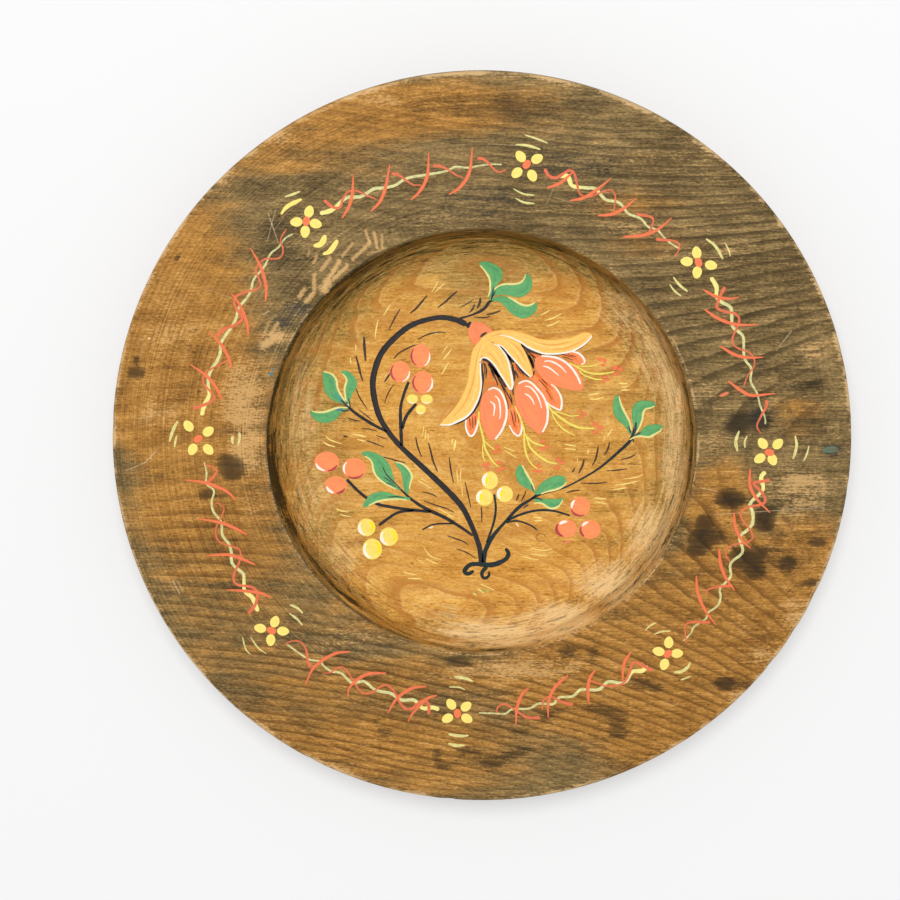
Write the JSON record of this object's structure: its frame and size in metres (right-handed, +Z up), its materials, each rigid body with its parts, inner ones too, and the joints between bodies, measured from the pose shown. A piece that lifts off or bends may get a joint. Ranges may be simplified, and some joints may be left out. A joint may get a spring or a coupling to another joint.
{
  "type": "painted wooden plate",
  "caption": "Turned wooden plate with a broad flat rim and a sunk well, painted with a flower garland on the rim and a spray of leaves, berries and a bell flower in the well.",
  "frame": {"origin": "centre of the foot, on the surface that the plate lies on", "axes": "+Z up out of the painted face; +X along the grain, to the right of the painting; +Y to the top of the painting"},
  "size_m": [0.228, 0.228, 0.0224],
  "materials": {
    "board": "stained and waxed coniferous wood, turned, satin",
    "stem_paint": "near-black paint, satin",
    "leaf_paint": "green paint, satin",
    "garland_paint": "thin coral paint, satin",
    "cream_paint": "cream-yellow paint, satin",
    "red_paint": "red paint, satin",
    "yellow_paint": "yellow paint, satin",
    "coral_paint": "coral paint, satin",
    "orange_paint": "rust-orange paint, satin",
    "ochre_paint": "light ochre paint, satin",
    "filament_paint": "lemon-yellow paint, satin"
  },
  "bodies": {
    "root": {"berry_arch_1": "coral_paint", "berry_arch_2": "coral_paint", "berry_arch_3": "coral_paint", "berry_arch_small_1": "yellow_paint", "berry_arch_small_2": "yellow_paint", "berry_arch_small_3": "yellow_paint", "berry_left_1": "coral_paint", "berry_left_2": "coral_paint", "berry_left_3": "coral_paint", "berry_lower_left_1": "yellow_paint", "berry_lower_left_2": "yellow_paint", "berry_lower_left_3": "yellow_paint", "berry_middle_1": "yellow_paint", "berry_middle_2": "yellow_paint", "berry_middle_3": "yellow_paint", "berry_right_1": "coral_paint", "berry_right_2": "coral_paint", "berry_right_3": "coral_paint", "blossom_1_heart": "red_paint", "blossom_1_petals": "cream_paint", "blossom_2_heart": "red_paint", "blossom_2_petals": "cream_paint", "blossom_3_heart": "red_paint", "blossom_3_petals": "cream_paint", "blossom_4_heart": "red_paint", "blossom_4_petals": "cream_paint", "blossom_5_heart": "red_paint", "blossom_5_petals": "cream_paint", "blossom_6_heart": "red_paint", "blossom_6_petals": "cream_paint", "blossom_7_heart": "red_paint", "blossom_7_petals": "cream_paint", "blossom_8_heart": "red_paint", "blossom_8_petals": "cream_paint", "flower_bell": "orange_paint", "flower_bud_1": "coral_paint", "flower_bud_2": "coral_paint", "flower_bud_3": "coral_paint", "flower_calyx": "coral_paint", "flower_filament_1": "filament_paint", "flower_filament_2": "filament_paint", "flower_filament_3": "filament_paint", "flower_filament_4": "filament_paint", "flower_sepals": "ochre_paint", "garland_1": "garland_paint", "garland_2": "garland_paint", "garland_3": "garland_paint", "garland_4": "garland_paint", "garland_5": "garland_paint", "garland_6": "garland_paint", "garland_7": "garland_paint", "garland_8": "garland_paint", "leaves_left": "leaf_paint", "leaves_lower_left": "leaf_paint", "leaves_lower_right": "leaf_paint", "leaves_right": "leaf_paint", "leaves_top": "leaf_paint", "spray_foot_scroll": "stem_paint", "spray_stem": "stem_paint", "turned_plate": "board"}
  },
  "joints": []
}
